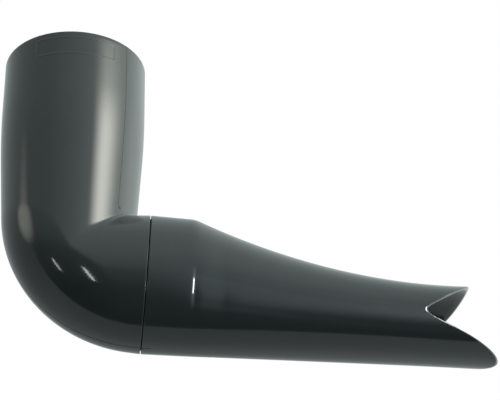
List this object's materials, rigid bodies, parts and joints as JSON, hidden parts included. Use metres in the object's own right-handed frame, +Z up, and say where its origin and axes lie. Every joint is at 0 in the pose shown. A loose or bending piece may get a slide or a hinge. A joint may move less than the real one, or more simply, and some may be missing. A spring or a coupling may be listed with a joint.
{
  "type": "rainwater spout",
  "caption": "Tight elbow with an upright round socket for a downpipe, leading into an oval, beak-shaped spout whose notched open mouth throws rainwater clear of a wall.",
  "frame": {"origin": "centre of the mouth of the inlet socket, on the downpipe's axis", "axes": "+Z up along the downpipe's axis, +X out along the spout, away from the wall, +Y to the left seen along +X; the part is the same on both sides of the XZ plane"},
  "size_m": [0.1921, 0.057, 0.1267],
  "materials": {
    "dark_plastic": "glossy moulded, dark anthracite grey"
  },
  "bodies": {
    "root": {"elbow": "dark_plastic", "spout": "dark_plastic"}
  },
  "joints": []
}
